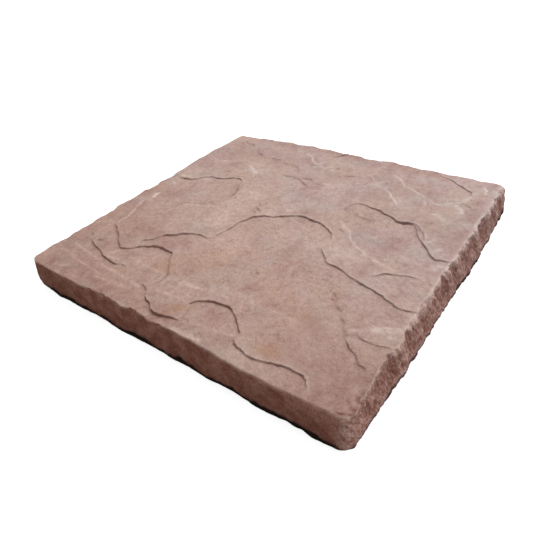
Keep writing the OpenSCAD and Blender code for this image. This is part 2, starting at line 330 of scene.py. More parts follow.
# %% Height of the face
SWELL = 0.9  # height of the broadest swells
BRINK = 0.12  # how far the upper edge of a lip stands up, as a share of its depth
BRINK_RUN = 14  # how far from the lip that rise dies out
NEAR = 4.0  # how near a lip a vertex has to be to be drawn to it
GAP = 0.17  # how near the nearest ones come
CROWD = 2.1  # how much they crowd there
CHUNK = 20000  # points that are surveyed at once, to save memory


def near_lip(points, path):
    """For each point: signed distance to the lip (right is positive), side, normal and two depths.

    The side is 1 on the right, 0 on the left, and between the two round the lip's ends. The first
    depth is the average along the lip, weighed by 1 / (distance^2 + 1)^2, and the second is the one
    at the nearest place.
    """
    places, right, drops = path
    across = np.empty(len(points))
    side = np.empty(len(points))
    normal = np.empty((len(points), 2))
    drop = np.empty(len(points))
    here = np.empty(len(points))
    for start in range(0, len(points), CHUNK):
        part = slice(start, start + CHUNK)
        offset = points[part, None, :] - places[None, :, :]
        square = (offset**2).sum(-1)
        best = square.argmin(1)
        rows = np.arange(len(best))
        gap = offset[rows, best]
        weight = 1 / (square + 1) ** 2
        drop[part] = weight @ drops / weight.sum(1)
        here[part] = drops[best]
        normal[part] = right[best]
        side_gap = (gap * right[best]).sum(1)
        past = np.abs(gap[:, 0] * right[best][:, 1] - gap[:, 1] * right[best][:, 0])
        past = np.where((best == 0) | (best == len(places) - 1), past, 0)
        reach = np.sqrt(side_gap**2 + past**2)
        across[part] = np.sign(side_gap) * reach
        side[part] = 0.5 + 0.5 * side_gap / np.maximum(reach, 1e-9)
    return across, side, normal, drop, here


def foot_dirt_and_shade(points, gap, side, here, wear, spread):
    """Darkening at the foot of a lip, part dirt and part painted shade of the step: more where the
    step is deep, less where its edge is pale with wear or the step is spread out.
    """
    strength = np.clip(0.3 + here / 1.7, 0, 1) * blend(here / 0.4) / (1 + 0.15 * spread)
    strength = strength * np.clip(1.7 - 1.7 * wear, 0, 1) * (0.9 + 0.45 * noise(points, 7, 161))
    return strength * np.exp(-gap / np.where(side > 0.5, 1.0 + spread, 0.4))


def pale_edge_and_highlight(gap, side, here, wear):
    """Pale wear and painted highlight along a lip, most of it on the upper edge, where the step is
    deep enough to rub.
    """
    return 1.4 * wear * np.clip(1.4 * here, 0, 1) * (1 - 0.7 * side) * np.exp(-gap / 1.6)


def survey(points):
    """Ground level, dirt and painted shade, pale wear and painted highlight at each point of the face,
    and how far a lip draws it over.
    """
    level = np.zeros(len(points))
    dirt_and_shade = np.zeros(len(points))
    worn = np.zeros(len(points))
    pull = np.zeros_like(points)
    closest = np.full(len(points), NEAR)
    for name, (run, wear, spread, _) in LIPS.items():
        reach = paths[name][0]
        inside = ((points > reach.min(0) - 4 * run) & (points < reach.max(0) + 4 * run)).all(1)
        index = np.nonzero(inside)[0]
        across, side, normal, drop, here = near_lip(points[index], paths[name])
        gap = np.abs(across)
        eased = blend(gap / spread) if spread else 1
        level[index] -= side * drop * np.exp(-gap / run) * eased
        level[index] += (1 - side) * BRINK * drop * np.exp(-gap / BRINK_RUN)
        # the foot of each lip is darkened with dirt and with painted shade of the step
        foot = foot_dirt_and_shade(points[index], gap, side, here, wear, spread)
        dirt_and_shade[index] = np.maximum(dirt_and_shade[index], foot)
        # pale wear and painted highlight along the lip edges
        worn[index] = np.maximum(worn[index], pale_edge_and_highlight(gap, side, here, wear))
        if not spread:
            closer = (gap < closest[index]) & (here > 0.25)
            shift = GAP + (NEAR - GAP) * (gap / NEAR) ** CROWD - gap
            pull[index[closer]] = (np.sign(across) * shift)[closer, None] * normal[closer]
            closest[index[closer]] = gap[closer]
    return level, dirt_and_shade, worn * (1 - dirt_and_shade), pull


def swell(points):
    """Broad unevenness of the face: layers of noise from 120 mm down to 4 mm."""
    broad = SWELL * layered(points, 120, 2, 21)
    slabs = 0.4 * layered(points, 34, 2, 31)
    fine = 0.22 * layered(points, 8, 2, 41)
    return broad + slabs + fine


# %% [markdown]
# ## The sides
# The front and left sides come off the mould wall: slow waves, a chipped upper edge and a rubbed
# lower one. The right and back sides are rock-faced, as if a mason had struck off one chip after
# another. A chip starts at the upper edge, leaves a bowl below it and runs out towards the bed, and
# where two bowls meet stands a ridge. So a rock-faced side is a slope with the deepest of many bowls
# cut from it, and with small facets, upright strands and the leaning marks of a point chisel over
# them. How far each upper edge is drawn in, and each lower edge worn back, is given along the side,
# like a surveyor's offsets.

# %% Offsets along the sides
RIMS = {
    # (distance along the side, how far its upper edge is drawn in)
    "front": [
        (0, 0.5), (60, 1), (125, 1.5), (140, 3.5), (175, 4), (200, 2.5), (213, 5), (232, 5),
        (245, 2.5), (256, 4.5), (300, 4.5), (335, 3), (360, 1.5), (400, 1.2), (440, 2), (470, 3),
        (490, 4), (508, 4)],
    "right": [
        (0, 7), (14, 6), (28, 7), (38, 8.5), (50, 10), (70, 11), (92, 10), (105, 8), (130, 11),
        (150, 11), (182, 11), (200, 10), (230, 12), (265, 10), (290, 11), (315, 10), (348, 11),
        (372, 12), (402, 10), (430, 11), (452, 12), (483, 11)],
    "back": [
        (0, 21), (45, 21.5), (62, 16.5), (80, 14), (90, 17), (100, 14), (122, 10), (140, 13),
        (160, 12), (170, 10), (185, 10.5), (205, 8.5), (232, 14), (250, 9.5), (262, 10), (280, 14),
        (300, 11.5), (320, 8.5), (340, 11.5), (370, 13.5), (393, 11), (418, 14), (436, 11.5),
        (455, 11.5), (467, 14), (485, 12), (508, 12)],
    "left": [
        (0, 6.5), (20, 5), (38, 3), (50, 4), (65, 6), (72, 3), (90, 5), (105, 6), (118, 3),
        (135, 6), (150, 5), (160, 2), (175, 4), (190, 6), (203, 5), (218, 2), (222, 6), (240, 8),
        (250, 5), (262, 8), (272, 10), (290, 7), (305, 8), (320, 6), (345, 5), (370, 7), (390, 6),
        (410, 9), (440, 11), (483, 14)],
}
FEET = {
    # (distance along the side, how far the lower edge is worn back)
    "front": [
        (0, 5), (20, 2.5), (42, 1), (60, 2.5), (98, 2.5), (117, 4), (150, 4), (163, 2), (190, 1),
        (220, 2.5), (242, 4), (278, 4), (306, 5), (333, 3), (361, 5), (398, 2.5), (422, 4),
        (435, 6), (447, 4), (454, 5), (466, 2), (480, 3), (490, 4.5), (508, 6)],
    "right": [
        (0, 6), (20, 8.5), (44, 9), (55, 7), (73, 7), (90, 6), (108, 5), (124, 4), (132, 6), (147, 3),
        (155, 5), (180, 6), (188, 4), (198, 6), (221, 6), (249, 5), (284, 5), (300, 3), (315, 1.5),
        (322, 4), (336, 3), (351, 1.5), (364, 6), (380, 6), (398, 4), (408, 8), (439, 9),
        (456, 10), (483, 10)],
    "back": [(0, 4), (100, 6), (180, 4), (260, 7), (340, 4), (430, 6), (508, 9)],
    "left": [(0, 10), (25, 6.5), (90, 3), (200, 4), (290, 2.5), (390, 4), (483, 5)],
}
CHIPS = {
    # (distance along the side, how deep the chips in its upper edge are)
    "front": [(0, 1.6), (90, 1.6), (120, 2.8), (255, 2.8), (290, 0.9), (508, 0.9)],
    "left": [(0, 2.2), (483, 2.6)],
}
ROUNDED = {
    # (distance along the side, how far the upper edge is rounded in)
    "front": [(0, 1.4), (110, 1.4), (130, 1.8), (330, 1.8), (370, 2.8), (508, 2.8)],
    "left": [(0, 1.4), (483, 1.4)],
}
RAGGEDNESS = {"right": 1.0, "back": 0.4}  # how much of the noise a struck upper edge takes
SCOOPS = {
    # (distance along the side of a bowl's middle, half its width, its depth)
    "right": [
        (30, 9, 1.5), (58, 9, 2), (88, 17, 5), (136, 10, 3), (172, 14, 2.5), (205, 10, 1.5),
        (232, 13, 3), (264, 12, 5), (300, 13, 3.5), (332, 11, 3.5), (374, 19, 4.5), (412, 11, 2.5),
        (447, 10, 2.5)],
    "back": [
        (20, 15, 4), (52, 17, 5), (88, 15, 4), (118, 14, 5), (150, 18, 5.5), (186, 14, 4),
        (216, 16, 5), (252, 18, 5), (286, 14, 4), (316, 17, 5), (350, 15, 4.5), (382, 16, 5),
        (416, 17, 5), (448, 14, 4), (478, 14, 3)],
}


def offset_at(along, offsets):
    """Inset of an edge at a distance along its side: smooth between the surveyed offsets."""
    stations, insets = np.array(offsets, float).T
    place = np.interp(along, stations, np.arange(len(stations)))
    first = np.clip(np.floor(place).astype(int), 0, len(stations) - 2)
    return insets[first] + (insets[first + 1] - insets[first]) * blend(place - first)


# %% How far each side is drawn in
SEEDS = {"left": 61, "right": 71, "back": 81, "front": 91}  # first seed of each side's noises
SLANT = 0.5  # how far the marks of the chisel lean, for each millimetre up
BOWL_MIDDLE = 0.68  # height of the middle of a big bowl, as a share of the thickness
BOWL_HALF = 0.58  # half of its height, likewise
CRUMBLED = 2.0  # what the crumbling of a struck edge takes of its offset


def bowls(along, up, wide, tall, seed):
    """1 at the bottom of each bowl and 0 on the ridges between: 1 - (distance / 0.85)^2."""
    cells = np.stack([along / wide + 0.45 * up / tall, up / tall + 0.31 * seed], axis=-1)
    return np.clip(1 - (to_seed(cells + 40, seed) / 0.85) ** 2, 0, 1)


def scoop(along, up, side):
    """The deepest of a side's big bowls, each depth times 1 - (across / width)^2 - (up / height)^2."""
    deepest = np.zeros(along.shape)
    middle_up = BOWL_MIDDLE * THICKNESS
    for middle_along, half, depth in SCOOPS[side]:
        across = (along - middle_along + SLANT * (up - middle_up)) / half
        height = (up - middle_up) / (BOWL_HALF * THICKNESS)
        deepest = np.maximum(deepest, depth * (1 - across**2 - height**2))
    return deepest


def broken_out(along, up, side):
    """Depth of the big bowls, read at a place that noise has shifted, so their outlines are ragged."""
    seed = SEEDS[side]
    both = np.stack(np.broadcast_arrays(along, up), axis=-1)
    warped = along + 4 * noise(both, 15, seed + 8) + 2 * noise(both, 6, seed + 9)
    lifted = up + 5 * noise(both, 17, seed + 10) + 2 * noise(both, 5, seed + 13)
    return scoop(warped, lifted, side)


def pecks(along, up, side):
    """From 0 to 1: a point chisel's marks, narrow leaning hollows here and there above the foot."""
    seed = SEEDS[side]
    both = np.stack(np.broadcast_arrays(along + SLANT * up, 0.6 * up), axis=-1)
    shifted = both + 1.5 * np.stack([noise(both, 6, seed + 14), noise(both, 6, seed + 15)], axis=-1)
    near = to_seed(shifted / (9, 13) + 40, seed + 16)
    some = blend(0.5 + 1.6 * noise(both, 22, seed + 17)) * blend((up - 9) / 12)
    return blend((0.55 - near) / 0.3) * some


def rounding(gap, wide, tall):
    """Inset of a rounded edge: a quarter of an ellipse that starts at the edge itself."""
    t = np.clip(1 - gap / tall, 0, 1)
    return wide * (1 - np.sqrt(1 - t * t * 0.999))


def smooth_side(along, up, side):
    """Slow waves, a lean to a rounded upper edge with small chips in it, and a rubbed lower edge."""
    seed = SEEDS[side]
    both = np.stack([along, up * 1.4], axis=-1)
    line = np.stack([along, 0 * along], axis=-1)
    waves = 0.9 + 0.4 * noise(line, 60, seed) + 0.6 * noise(both, 27, seed + 1)
    waves = waves + 0.5 * layered(both, 12, 3, seed + 2)
    height = up / THICKNESS
    lean = offset_at(along, RIMS[side]) * height**1.4
    size = offset_at(along, CHIPS[side])
    chips = size * np.clip(noise(line, 14, seed + 5) + 0.8 * noise(line, 5, seed + 6), 0, 1)
    chips = chips * blend(1.2 - (THICKNESS - up) / np.clip(4 + 3 * noise(line, 17, seed + 8), 2, 7))
    foot = offset_at(along, FEET[side])
    lower = rounding(up, foot, 6 + 1.6 * foot)
    soft = offset_at(along, ROUNDED[side])
    upper = np.maximum(chips, rounding(THICKNESS - up, soft, 1.6 * soft))
    return np.maximum(waves + lean, 0) + upper + lower


def rock_side(along, up, side):
    """A slope with big bowls, chisel marks, facets and upright strands below a crumbled, ragged edge."""
    seed = SEEDS[side]
    both = np.stack([along, up], axis=-1)
    line = np.stack([along, 0 * along], axis=-1)
    upright = np.stack([along + SLANT * up, 0.3 * up], axis=-1)
    height = up / THICKNESS
    foot = offset_at(along, FEET[side])
    ragged = RAGGEDNESS[side] * (1.1 * noise(line, 13, seed + 4) + 0.9 * noise(line, 4.5, seed + 5))
    slope = (offset_at(along, RIMS[side]) - CRUMBLED + ragged) * height**1.1
    slope = slope + 0.4 * foot * (1 - height)
    facets = 0.8 * bowls(along, up, 12, 17, seed + 1) + 0.7 * bowls(along, up, 5, 6, seed + 2)
    strands = 0.7 * layered(upright, 4, 2, seed + 3) + 0.5 * layered(both, 5, 2, seed + 6)
    chips = 0.6 * broken_out(along, up, side) + 1.3 * pecks(along, up, side) + facets + strands - 1.1
    chips = chips * blend((THICKNESS - up + 1.5) / (5 + 2 * noise(line, 9, seed + 7)))
    crumbled = np.clip(3 + 1.2 * noise(line, 15, seed + 11) + 0.8 * noise(line, 6, seed + 12), 1, 6)
    upper = rounding(THICKNESS - up, crumbled, 2 * crumbled)
    return np.maximum(slope + chips, 0) + upper + rounding(up, foot, foot + 1)


def corner_wear(x, y, up):
    """Extra inset at the two front corners, which are rubbed round below."""
    reach = np.hypot(np.abs(x) - LENGTH / 2, y + DEPTH / 2)
    return np.exp(-(reach / 24) ** 2) * rounding(up, 4, 16)


def inset_x(x, y, up):
    """Inset of the left or right side at the height of a point, whichever is nearer."""
    along = y + DEPTH / 2
    left = smooth_side(along, up, "left")
    right = rock_side(along, up, "right")
    return np.where(x > 0, right, left) + corner_wear(x, y, up)


def inset_y(x, y, up):
    """Inset of the front or back side, likewise."""
    along = x + LENGTH / 2
    front = smooth_side(along, up, "front")
    back = rock_side(along, up, "back")
    return np.where(y > 0, back, front) + corner_wear(x, y, up)


# %% Outline and rings
CORNERS = [12.0, 15.0, 13.0, 8.0]  # radii, anticlockwise from the front left
HALF_ARC = 15  # steps in half of a corner's arc
CELLS_X = 264  # faces of the grid along the front side
CELLS_Y = 250  # faces of the grid along the right side


def outline():
    """The plan of the slab, anticlockwise from the front left: four straight runs and four arcs.

    Each side is stepped evenly from the middle of one corner's arc to the middle of the next.
    """
    half = np.array([LENGTH, DEPTH]) / 2
    signs = np.array([(-1, -1), (1, -1), (1, 1), (-1, 1)])
    arcs = []
    for k, (sign, radius) in enumerate(zip(signs, CORNERS)):
        angle = np.radians(180 + 90 * k + np.linspace(0, 90, 2 * HALF_ARC + 1))
        centre = sign * (half - radius)
        arcs.append(centre + radius * np.stack([np.cos(angle), np.sin(angle)], axis=1))
    loop = []
    for k, cells in enumerate((CELLS_X, CELLS_Y, CELLS_X, CELLS_Y)):
        run = np.concatenate([arcs[k][HALF_ARC:], arcs[(k + 1) % 4][:HALF_ARC + 1]])
        spans = np.linalg.norm(np.diff(run, axis=0), axis=1)
        along = np.concatenate([[0], np.cumsum(spans)])
        even = np.linspace(0, along[-1], cells + 1)[:-1]
        loop.append(np.stack([np.interp(even, along, run[:, c]) for c in (0, 1)], axis=1))
    return np.concatenate(loop)


def drawn_in(loop, up):
    """Moves the outline in by the inset of its sides at a height.

    Across, x is drawn in by the inset times the cube of x over the half length, which is all of it on
    the right and left sides and next to nothing elsewhere; y likewise. Corners thus keep their arcs.
    """
    x, y = loop[:, 0], loop[:, 1]
    new_x = x * (1 - inset_x(x, y, up) * x**2 / (LENGTH / 2) ** 3)
    new_y = y * (1 - inset_y(x, y, up) * y**2 / (DEPTH / 2) ** 3)
    return np.stack([new_x, new_y], axis=1)


loop = outline()
rim = drawn_in(loop, np.full(len(loop), THICKNESS))
print(f"{len(loop)} stations round the slab; the rim is {np.ptp(rim[:, 0]):.1f} mm long")

# %% [markdown]
# ## A grid over the face
# The face needs a vertex every two millimetres, and more along the lips, where the height jumps. A
# Coons patch fills the wavy rim with an even grid: it adds the two ways of running straight lines
# across and takes off the corners' share. Then vertices within a few millimetres of a lip are drawn
# to it, always staying on their own side, so that each lip gets one narrow, steep row of faces.

# %% Face vertices
SPARED = 5  # width of the band inside the rim where the pull of the lips grows to its full

front_right = CELLS_X
back_right = front_right + CELLS_Y
back_left = back_right + CELLS_X
front = rim[:front_right + 1]
right = rim[front_right:back_right + 1]
back = rim[back_right:back_left + 1][::-1]
left = np.concatenate([rim[back_left:], rim[:1]])[::-1]
u = np.linspace(0, 1, CELLS_X + 1)[:, None, None]
v = np.linspace(0, 1, CELLS_Y + 1)[None, :, None]
ruled = (1 - v) * front[:, None] + v * back[:, None] + (1 - u) * left[None] + u * right[None]
corners = ((1 - u) * (1 - v) * front[0] + u * (1 - v) * front[-1]
           + (1 - u) * v * back[0] + u * v * back[-1])
face = (ruled - corners).reshape(-1, 2)

_, _, _, pull = survey(face)
to_rim = np.minimum(np.minimum(u, 1 - u) * LENGTH, np.minimum(v, 1 - v) * DEPTH)
face += pull * blend(to_rim.reshape(-1, 1) / SPARED)
level, dirt_and_shade, worn, _ = survey(face)
level += swell(face)
print(f"face level from {level.min():.2f} to {level.max():.2f} mm")

# %% [markdown]
# ## Pale scuffs and painted highlights
# Lime comes to the surface of cast stone as it dries and stays as a bloom, and traffic on the slab
# rubs the high spots paler still. Both are colour and not shape. Some of the pale strokes are painted
# highlight as well, where lip edges and the right arris face the light. They could be left to noise
# alone, but the real ones are smears with a direction, so the larger are strokes from one point to
# another, in the same millimetres as the lips, each with a width and a strength. Broader strokes of
# the same kind place the lighter and darker skin, the rust stains and the patches that are full of
# pits, and narrow ones the cracks in the arris at the worn corner.

# %% Strokes of bloom and painted highlight
SCUFFS_AND_HIGHLIGHTS = [
    # x, y, x, y, half width, strength
    (109, 364, 122, 354, 2, 0.45), (122, 356, 138, 346, 2.2, 0.7), (119, 351, 133, 345, 2, 0.3),
    (50, 357, 75, 364, 3, 0.25), (25, 284, 42, 287, 2.5, 0.9), (27, 292, 27, 301, 3, 0.6),
    (72, 291, 80, 296, 3, 0.4), (29, 258, 33, 257, 3, 0.4), (33, 218, 36, 207, 3.5, 1.0),
    (10, 193, 45, 198, 3, 0.35), (102, 214, 106, 223, 4, 0.3), (256, 273, 271, 286, 7, 0.3),
    (178, 443, 192, 436, 2.5, 0.5), (192, 436, 200, 424, 1.8, 0.5), (200, 424, 214, 414, 1.8, 0.45),
    (211, 414, 222, 420, 2, 0.4), (222, 412, 240, 405, 1.8, 0.5), (229, 408, 243, 417, 2, 0.35),
    (247, 408, 256, 402, 2, 0.4), (246, 403, 264, 409, 1.8, 0.45), (264, 409, 279, 407, 1.8, 0.45),
    (279, 407, 291, 422, 1.8, 0.45), (434, 378, 458, 396, 1.8, 0.35), (458, 396, 469, 407, 1.8, 0.35),
    (435, 350, 441, 353, 1.8, 0.45), (441, 353, 452, 347, 2, 0.5), (308, 414, 317, 427, 3, 0.3),
    (324, 389, 339, 406, 4, 0.25), (196, 390, 201, 390, 3, 0.3), (344, 277, 350, 262, 2, 0.4),
    (364, 236, 384, 208, 10, 0.22), (358, 232, 372, 212, 3, 0.2), (390, 200, 396, 207, 3, 0.5),
    (443, 353, 459, 340, 5, 0.3), (402, 228, 425, 220, 2, 0.55), (425, 220, 444, 215, 2, 0.35),
    (440, 246, 478, 236, 2.5, 0.3), (470, 271, 476, 279, 3, 0.5), (456, 285, 461, 296, 3, 0.5),
    (483, 239, 489, 251, 3, 0.5), (464, 407, 470, 428, 5, 0.4), (451, 402, 464, 407, 4, 0.35),
    (458, 386, 470, 373, 4, 0.5), (404, 395, 432, 377, 2, 0.4), (58, 16, 67, 21, 3, 0.35),
    (96, 69, 101, 77, 3, 0.3), (118, 91, 124, 94, 3, 0.3), (101, 62, 119, 65, 2.5, 0.45),
    (233, 72, 264, 75, 2.5, 0.4), (214, 69, 225, 74, 3, 0.35), (210, 31, 220, 31, 2, 0.5),
    (273, 21, 276, 36, 2, 0.45), (450, 104, 468, 115, 2.2, 0.5), (468, 116, 488, 124, 5, 0.6),
    (470, 121, 490, 130, 1.8, 0.7), (488, 124, 500, 131, 4, 0.65), (486, 114, 500, 119, 5, 0.4),
    (497, 128, 497, 158, 3, 0.7), (497, 160, 497, 200, 2.5, 0.5), (497, 202, 497, 258, 3, 0.8),
    (497, 262, 497, 343, 2.5, 0.5), (496, 347, 496, 385, 3, 0.7), (496, 388, 496, 468, 2.5, 0.45),
]
PALER = [
    # where the skin dried lighter: broad patches, then streaks drawn out with the screed
    (178, 285, 178, 200, 26, 0.6), (228, 268, 230, 255, 22, 0.4), (212, 176, 242, 165, 26, 0.6),
    (127, 172, 137, 166, 20, 0.35), (372, 22, 425, 24, 20, 0.3), (378, 366, 386, 360, 20, 0.3),
    (330, 217, 385, 217, 20, 0.35), (482, 170, 485, 164, 16, 0.35), (22, 314, 32, 310, 16, 0.3),
    (428, 72, 442, 75, 20, 0.35), (118, 364, 138, 358, 18, 0.45), (14, 121, 30, 121, 14, 0.4),
    (270, 362, 285, 360, 18, 0.35), (15, 460, 34, 458, 13, 0.4), (270, 220, 290, 214, 20, 0.25),
    (30, 60, 95, 52, 2.2, 0.6), (105, 47, 190, 40, 2.2, 0.65), (60, 37, 130, 31, 2.2, 0.45),
    (130, 78, 200, 72, 2.5, 0.5), (200, 62, 262, 58, 2, 0.4), (12, 44, 60, 38, 2.5, 0.4),
    (290, 92, 400, 84, 3, 0.4), (121, 26, 174, 31, 2.5, 0.6), (203, 62, 212, 68, 2, 0.5),
    (218, 47, 260, 49, 2, 0.6), (234, 68, 273, 78, 2.2, 0.6), (273, 78, 301, 79, 2, 0.5),
    (284, 25, 301, 28, 2, 0.5), (301, 28, 348, 35, 2, 0.6), (281, 8, 318, 10, 3.5, 0.8),
    (357, 36, 379, 44, 2, 0.5), (491, 400, 490, 466, 4, 0.25),
]
STAINS = [
    # iron in the aggregate that has rusted through
    (180, 90, 200, 85, 11, 0.2), (258, 34, 274, 44, 10, 0.3), (385, 34, 400, 39, 9, 0.28),
    (8, 240, 20, 240, 11, 0.2), (340, 458, 420, 455, 7, 0.15), (15, 455, 60, 455, 7, 0.2),
    (240, 150, 385, 105, 50, 0.13),
]
CRACKS = [
    # broken lines in the arris near the worn corner
    (483, 9, 488, 9, 1.2, 0.3), (490, 10, 495, 11.5, 1.3, 0.75), (495, 11.5, 500, 14, 1.5, 1.0),
    (490, 26, 496, 20, 1.3, 0.7), (496, 20, 501, 18, 1.6, 0.95), (500, 18, 501, 24, 1.5, 0.8),
    (496, 34, 499, 28, 1.5, 0.9), (495, 47, 498, 39, 1.4, 0.8),
]
TONES = [
    # where the pigment came out darker
    (70, 468, 400, 466, 15, 0.6), (110, 462, 140, 460, 16, 0.75), (264, 458, 296, 457, 18, 0.95),
    (60, 417, 200, 408, 24, 0.4), (318, 414, 390, 408, 24, 0.5), (452, 315, 492, 330, 24, 0.5),
    (490, 350, 492, 420, 18, 0.4), (14, 217, 28, 217, 22, 0.3), (328, 172, 334, 164, 25, 0.3),
    (20, 60, 24, 190, 20, 0.3), (18, 66, 60, 76, 26, 0.65), (45, 20, 150, 18, 24, 0.75),
    (150, 20, 350, 18, 18, 0.5), (410, 34, 498, 20, 32, 0.85), (484, 66, 494, 120, 16, 0.35),
    (440, 70, 486, 48, 28, 0.8), (270, 412, 300, 405, 20, 0.35), (325, 362, 340, 358, 18, 0.3),
    (20, 120, 130, 118, 22, 0.25), (274, 270, 286, 264, 14, 0.45), (482, 452, 488, 466, 12, 0.4),
]
PITTED = [
    # where air bubbles broke through the skin
    (290, 120, 395, 150, 45, 1.0), (230, 205, 330, 190, 35, 0.5), (225, 170, 240, 90, 30, 0.4),
    (60, 215, 90, 205, 26, 0.5), (250, 380, 330, 350, 30, 0.4),
]


def strokes(points, table):
    """Strength of the strongest stroke: exp(-(distance to its line / half width)^2), made patchy by noise.
    """
    total = np.zeros(len(points))
    for x0, y0, x1, y1, wide, strength in table:
        start, end = on_slab((x0, y0)), on_slab((x1, y1))
        run = end - start
        share = np.clip(((points - start) @ run) / (run @ run), 0, 1)
        gap = np.linalg.norm(points - start - share[:, None] * run, axis=1)
        total = np.maximum(total, strength * np.exp(-(gap / wide) ** 2))
    patchy = 0.85 + 0.5 * layered(points, 9, 3, 51)
    return np.clip(total * patchy, 0, 1)


print(f"{len(SCUFFS_AND_HIGHLIGHTS)} strokes of bloom, {len(PALER)} paler and {len(TONES)} darker places")

# %% [markdown]
# ## One closed skin
# Rings of vertices run down from the rim to the bed, crowded where the worn edges curve. They share
# their first ring with the grid. One more ring lies a little way in on the bed, and a flat face closes
# it, so that the bed's own colour starts there and its shading stays flat. One closed mesh weighs and
# prints like the casting, which loose sheets would not.

# %% Side rings and the mesh
# how far down each ring lies, as a share of the thickness
DOWN = np.array([0.008, 0.02, 0.036, 0.056, 0.082, 0.112, 0.147, 0.187, 0.23, 0.28, 0.33, 0.385,
                 0.44, 0.495, 0.55, 0.605, 0.66, 0.715, 0.77, 0.82, 0.865, 0.905, 0.94, 0.968,
                 0.987, 1.0])
BED_SHARE = 0.97  # size of the bed inside its damp edge
PRESSED = 1.2  # how far the highest swell is pressed down, to end at the top of the box
PRESSED_SHARE = 0.12  # how much of their unevenness the pressed tops keep
SHARP = 38  # degrees between two faces from which the edge between them is sharp

grid = np.arange(len(face)).reshape(CELLS_X + 1, CELLS_Y + 1)
border = np.concatenate([grid[:-1, 0], grid[-1, :-1], grid[:0:-1, -1], grid[0, :0:-1]])

below_top = level - level.max()
face_z = THICKNESS + np.minimum(below_top + PRESSED, PRESSED_SHARE * below_top)
rim_z = face_z[border]
rings = [np.column_stack([drawn_in(loop, np.full(len(loop), THICKNESS * (1 - w))), rim_z * (1 - w)])
         for w in DOWN]
under = rings[-1] * (BED_SHARE, BED_SHARE, 1)
sides = np.concatenate(rings + [under])
vertices = np.concatenate([np.column_stack([face, face_z]), sides])

ring_ids = np.concatenate([border, len(face) + np.arange(len(sides))]).reshape(len(DOWN) + 2, -1)
upper, lower = ring_ids[:-1], ring_ids[1:]
side_quads = np.stack([lower, np.roll(lower, -1, 1), np.roll(upper, -1, 1), upper], axis=-1)
face_quads = np.stack([grid[:-1, :-1], grid[1:, :-1], grid[1:, 1:], grid[:-1, 1:]], axis=-1)
quads = np.concatenate([face_quads.reshape(-1, 4), side_quads.reshape(-1, 4)])
bed = ring_ids[-1][::-1]
print(f"{len(vertices)} vertices, {len(quads)} quads")


def new_mesh(name, vertices, quads, last):
    """A mesh of quads and one many-sided last face, filled from whole arrays."""
    mesh = bpy.data.meshes.new(name)
    corners = np.concatenate([quads.ravel(), last])
    starts = np.arange(len(quads) + 1) * 4
    mesh.vertices.add(len(vertices))
    mesh.vertices.foreach_set("co", vertices.ravel())
    mesh.loops.add(len(corners))
    mesh.loops.foreach_set("vertex_index", corners)
    mesh.polygons.add(len(starts))
    mesh.polygons.foreach_set("loop_start", starts)
    mesh.update(calc_edges=True)
    mesh.validate()
    return mesh


def is_closed(quads, last):
    """Whether each edge lies between exactly two faces."""
    round_quads = np.concatenate([quads[:, (k, (k + 1) % 4)] for k in range(4)])
    round_last = np.stack([last, np.roll(last, -1)], axis=1)
    edges = np.sort(np.concatenate([round_quads, round_last]), axis=1)
    _, uses = np.unique(edges, axis=0, return_counts=True)
    return bool((uses == 2).all())


def shown(name, data):
    """A new object in the scene, which shows the data."""
    made = bpy.data.objects.new(name, data)
    bpy.context.scene.collection.objects.link(made)
    return made


place = (vertices + (middle[0], middle[1], low[2])) * MM
mesh = new_mesh("cast_hearthstone", place, quads, bed)
stone = shown("cast_hearthstone", mesh)
mesh.shade_smooth()
mesh.set_sharp_from_angle(angle=math.radians(SHARP))
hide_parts("hearthstone")
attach(stone, "root")
print("closed:", is_closed(quads, bed))

# %% [markdown]
# ## What each vertex knows
# Some finishes follow the shape, and so do painted light and shade: dirt and painted shade darken
# the foot of each lip, painted shade darkens the hollows of the struck sides and every side towards
# the bottom, wear and painted highlight pale the edges and ridges, the struck sides show the raw
# inside of the casting, and the foot, where it turns under, is dark with a painted contact shadow.
# Those are worked out with the shape and kept on the vertices for the material to read, and so are
# the strokes above.

# %% Attributes
BED_FOOT_SHADOW = 0.15  # how much of the painted foot shadow the bed gets
BED_PITTED = 0.6  # how plainly its air bubbles show


def store(name, on_face, on_rings, on_bed=0.0):
    """Keeps one number for each vertex: those of the face, then of the rings, then of the bed."""
    on_sides = np.broadcast_to(on_rings, (len(DOWN), len(loop))).ravel()
    values = np.concatenate([on_face, on_sides, np.full(len(loop), on_bed)])
    layer = mesh.attributes.new(name, "FLOAT", "POINT")
    layer.data.foreach_set("value", np.clip(values, 0, 1).astype(np.float32))


def averaged(values, rows, columns):
    """The mean over a window of rings and stations; the stations run round, the rings end."""
    tall = np.pad(values, ((rows, rows), (0, 0)), mode="edge")
    down = sum(tall[k:k + len(values)] for k in range(2 * rows + 1)) / (2 * rows + 1)
    return sum(np.roll(down, k, axis=1) for k in range(-columns, columns + 1)) / (2 * columns + 1)


def towards(place, edge, far, near):
    """A ramp from 0, far millimetres short of an edge, to 1, near millimetres short of it."""
    return blend((place - edge + far) / (far - near))


insets = np.stack([np.linalg.norm(loop - ring[:, :2], axis=1) for ring in rings])
cavity = insets - averaged(insets, 4, 7)
print(f"hollows and ridges of the sides: {cavity.min():.1f} to {cavity.max():.1f} mm")

down = DOWN[:, None]
up = THICKNESS * (1 - down)
from_front = loop[:, 1] + DEPTH / 2
x_side = towards(loop[:, 0], LENGTH / 2, 20, 6)
y_side = towards(loop[:, 1], DEPTH / 2, 12, 0)
struck_side = np.maximum(x_side, y_side)
front_side = towards(-loop[:, 1], DEPTH / 2, 12, 0) * (1 - x_side)
rim_x = towards(face[:, 0], LENGTH / 2, 22, 8)
rim_y = towards(face[:, 1], DEPTH / 2, 26, 12)


